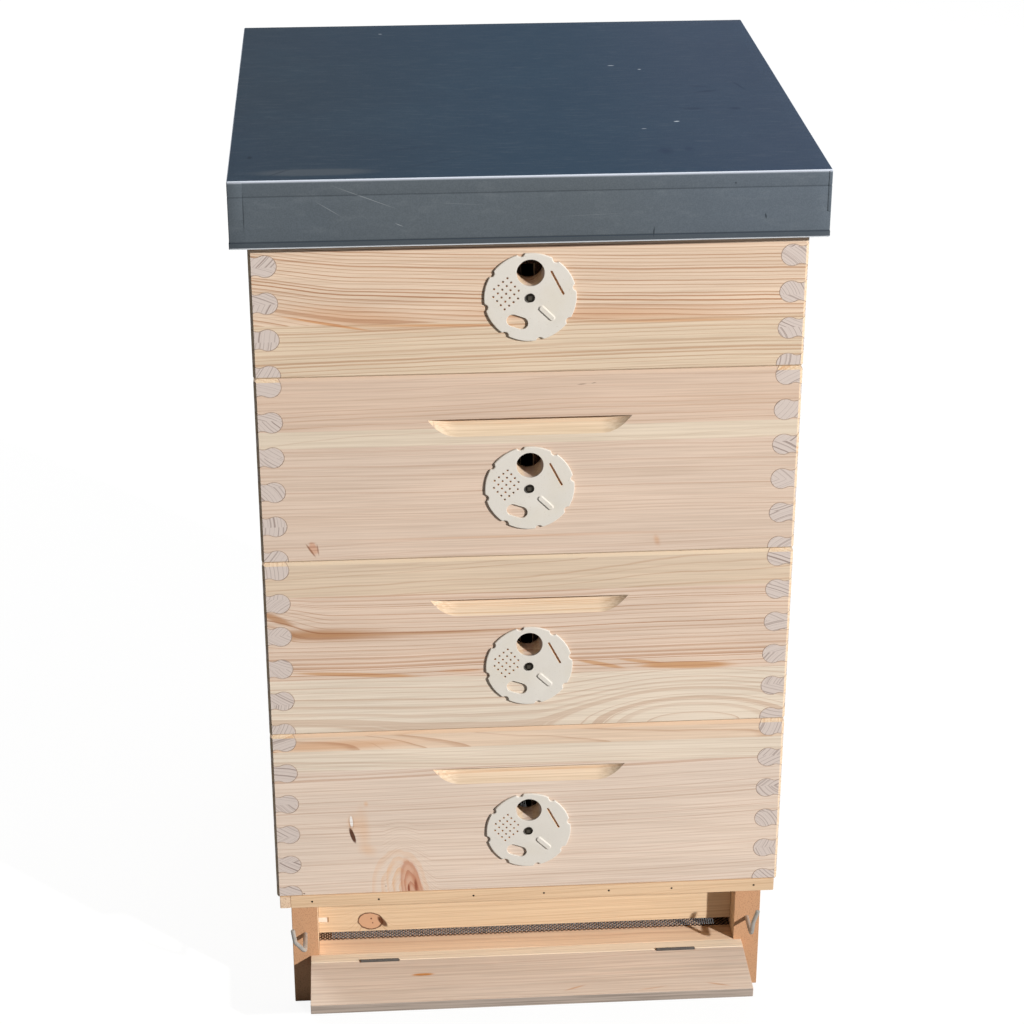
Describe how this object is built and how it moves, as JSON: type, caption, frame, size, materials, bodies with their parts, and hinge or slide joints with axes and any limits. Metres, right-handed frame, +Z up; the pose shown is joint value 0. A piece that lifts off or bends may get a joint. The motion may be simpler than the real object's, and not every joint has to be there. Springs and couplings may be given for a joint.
{
  "type": "multi-box beehive",
  "caption": "Square wooden beehive: stacked finger-jointed boxes with handholds and turning entrance discs, on a high floor with a hinged landing flap, under a sheet-metal lid.",
  "frame": {"origin": "on the ground, under the middle of the whole hive with its flap let down", "axes": "+Z up, -Y out of the front with the entrance discs, +X to the right as the front is looked at"},
  "size_m": [0.509, 0.571, 0.8437],
  "materials": {
    "box_pine": "planed bare pine",
    "floor_pine": "planed bare pine",
    "frame_wood": "sawn lime wood",
    "wax": "pressed beeswax",
    "disc_plastic": "moulded ivory plastic",
    "zinc_steel": "zinc plated",
    "mesh_steel": "galvanised wire",
    "lid_paint": "satin blue-grey coating",
    "hardboard": "hardboard"
  },
  "bodies": {
    "floor": {"floor_left_side": "floor_pine", "floor_right_side": "floor_pine", "floor_back_board": "floor_pine", "floor_front_board": "floor_pine", "floor_lintel": "floor_pine", "landing_plank": "floor_pine", "front_rail": "floor_pine", "back_rail": "floor_pine", "left_batten": "floor_pine", "right_batten": "floor_pine", "rail_nails": "zinc_steel", "floor_mesh": "mesh_steel", "mesh_ledges": "floor_pine", "hinge_strip": "floor_pine", "strip_hinge_leaves": "zinc_steel", "strip_hinge_screws": "zinc_steel", "hinge_pins": "zinc_steel"},
    "flap": {"flap_board": "floor_pine", "flap_hinge_leaves": "zinc_steel", "flap_hinge_screws": "zinc_steel"},
    "left_hook": {"left_hook": "zinc_steel"},
    "right_hook": {"right_hook": "zinc_steel"},
    "box_1": {"box_1_front_board": "box_pine", "box_1_back_board": "box_pine", "box_1_left_board": "box_pine", "box_1_right_board": "box_pine", "box_1_disc_screw": "zinc_steel", "box_1_frames": "frame_wood", "box_1_foundation": "wax"},
    "disc_1": {"box_1_entrance_disc": "disc_plastic"},
    "box_2": {"box_2_front_board": "box_pine", "box_2_back_board": "box_pine", "box_2_left_board": "box_pine", "box_2_right_board": "box_pine", "box_2_disc_screw": "zinc_steel", "box_2_frames": "frame_wood", "box_2_foundation": "wax"},
    "disc_2": {"box_2_entrance_disc": "disc_plastic"},
    "box_3": {"box_3_front_board": "box_pine", "box_3_back_board": "box_pine", "box_3_left_board": "box_pine", "box_3_right_board": "box_pine", "box_3_disc_screw": "zinc_steel", "box_3_frames": "frame_wood", "box_3_foundation": "wax"},
    "disc_3": {"box_3_entrance_disc": "disc_plastic"},
    "box_4": {"box_4_front_board": "box_pine", "box_4_back_board": "box_pine", "box_4_left_board": "box_pine", "box_4_right_board": "box_pine", "box_4_disc_screw": "zinc_steel", "box_4_frames": "frame_wood", "box_4_foundation": "wax"},
    "disc_4": {"box_4_entrance_disc": "disc_plastic"},
    "crown_board": {"crown_board": "hardboard"},
    "lid": {"lid_sheet": "lid_paint", "lid_lining": "hardboard", "lid_rim": "floor_pine"}
  },
  "joints": [
    {"name": "flap_hinge", "type": "hinge", "parent": "floor", "child": "flap", "pos_m": [0, -0.21927, 0.0535], "axis": [-1, 0, 0], "range_deg": [0, 92]},
    {"name": "left_hook_turn", "type": "hinge", "parent": "floor", "child": "left_hook", "pos_m": [-0.215, -0.21897, 0.0785], "axis": [0, 1, 0], "range_deg": [-66, 114]},
    {"name": "right_hook_turn", "type": "hinge", "parent": "floor", "child": "right_hook", "pos_m": [0.215, -0.21897, 0.0785], "axis": [0, -1, 0], "range_deg": [-78, 102]},
    {"name": "box_1_lift", "type": "slide", "parent": "floor", "child": "box_1", "axis": [0, 0, 1], "range_m": [0, 0.12]},
    {"name": "disc_1_turn", "type": "hinge", "parent": "box_1", "child": "disc_1", "pos_m": [0, -0.21897, 0.196], "axis": [0, -1, 0], "continuous": true},
    {"name": "box_2_lift", "type": "slide", "parent": "box_1", "child": "box_2", "axis": [0, 0, 1], "range_m": [0, 0.12]},
    {"name": "disc_2_turn", "type": "hinge", "parent": "box_2", "child": "disc_2", "pos_m": [0, -0.21897, 0.3725], "axis": [0, -1, 0], "continuous": true},
    {"name": "box_3_lift", "type": "slide", "parent": "box_2", "child": "box_3", "axis": [0, 0, 1], "range_m": [0, 0.12]},
    {"name": "disc_3_turn", "type": "hinge", "parent": "box_3", "child": "disc_3", "pos_m": [0, -0.21897, 0.5515], "axis": [0, -1, 0], "continuous": true},
    {"name": "box_4_lift", "type": "slide", "parent": "box_3", "child": "box_4", "axis": [0, 0, 1], "range_m": [0, 0.12]},
    {"name": "disc_4_turn", "type": "hinge", "parent": "box_4", "child": "disc_4", "pos_m": [0, -0.21897, 0.731], "axis": [0, -1, 0], "continuous": true},
    {"name": "crown_board_lift", "type": "slide", "parent": "box_4", "child": "crown_board", "axis": [0, 0, 1], "range_m": [0, 0.12]},
    {"name": "lid_lift", "type": "slide", "parent": "crown_board", "child": "lid", "axis": [0, 0, 1], "range_m": [0, 0.12]}
  ]
}
